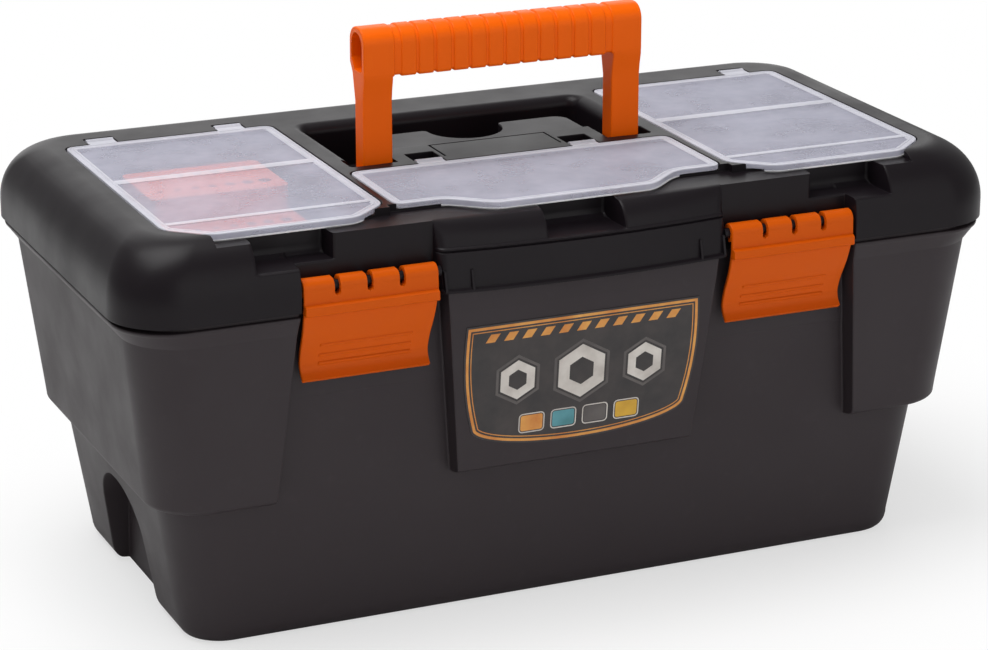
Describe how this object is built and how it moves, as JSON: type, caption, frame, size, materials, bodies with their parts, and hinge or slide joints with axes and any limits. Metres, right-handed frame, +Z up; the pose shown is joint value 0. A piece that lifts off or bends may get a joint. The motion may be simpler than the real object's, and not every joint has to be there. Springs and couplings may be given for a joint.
{
  "type": "hard tool case",
  "caption": "Moulded hard tool case: tapered tub, hinged lid with clear-covered organiser wells, two latches, fold-down handle and lift-out tray.",
  "frame": {"origin": "middle of the footprint, on the surface the case stands on", "axes": "+X along the case to the right as seen from the latch side, -Y the front with the latches, +Z up"},
  "size_m": [0.49, 0.2666, 0.294],
  "materials": {
    "body_plastic": "fine satin grain",
    "orange_plastic": "satin",
    "clear_plastic": "slightly frosted",
    "pin_steel": "drawn wire",
    "label_film": null
  },
  "bodies": {
    "tub_body": {"tub": "body_plastic", "hinge_pin_left": "pin_steel", "hinge_pin_right": "pin_steel", "label": "label_film"},
    "lid_body": {"lid_shell": "body_plastic"},
    "latch_left_body": {"latch_left": "orange_plastic"},
    "latch_right_body": {"latch_right": "orange_plastic"},
    "cover_left_body": {"cover_left": "clear_plastic"},
    "cover_right_body": {"cover_right": "clear_plastic"},
    "cover_centre_body": {"cover_centre": "clear_plastic"},
    "handle_body": {"carry_handle": "orange_plastic"},
    "holder_body": {"drill_bit_holder": "orange_plastic"},
    "tray_body": {"inner_tray": "body_plastic", "tray_handle": "orange_plastic"}
  },
  "joints": [
    {"name": "lid_hinge", "type": "hinge", "parent": "tub_body", "child": "lid_body", "pos_m": [0, 0.131, 0.1822], "axis": [-1, 0, 0], "range_deg": [0, 100]},
    {"name": "latch_left_swing", "type": "hinge", "parent": "lid_body", "child": "latch_left_body", "pos_m": [-0.118, -0.119, 0.1935], "axis": [-1, 0, 0], "range_deg": [0, 130]},
    {"name": "latch_right_swing", "type": "hinge", "parent": "lid_body", "child": "latch_right_body", "pos_m": [0.118, -0.119, 0.1935], "axis": [-1, 0, 0], "range_deg": [0, 130]},
    {"name": "cover_left_hinge", "type": "hinge", "parent": "lid_body", "child": "cover_left_body", "pos_m": [-0.155, 0.0875, 0.2194], "axis": [-1, 0, 0], "range_deg": [0, 110]},
    {"name": "cover_right_hinge", "type": "hinge", "parent": "lid_body", "child": "cover_right_body", "pos_m": [0.155, 0.0875, 0.2194], "axis": [-1, 0, 0], "range_deg": [0, 110]},
    {"name": "cover_centre_hinge", "type": "hinge", "parent": "lid_body", "child": "cover_centre_body", "pos_m": [0, -0.0205, 0.2194], "axis": [-1, 0, 0], "range_deg": [0, 75]},
    {"name": "handle_fold", "type": "hinge", "parent": "lid_body", "child": "handle_body", "pos_m": [0, -0.0115, 0.214], "axis": [-1, 0, 0], "range_deg": [0, 90]},
    {"name": "holder_lift", "type": "slide", "parent": "lid_body", "child": "holder_body", "axis": [0, 0, 1], "range_m": [0, 0.008]},
    {"name": "tray_lift", "type": "slide", "parent": "tub_body", "child": "tray_body", "axis": [0, 0, 1], "range_m": [0, 0.009]}
  ]
}
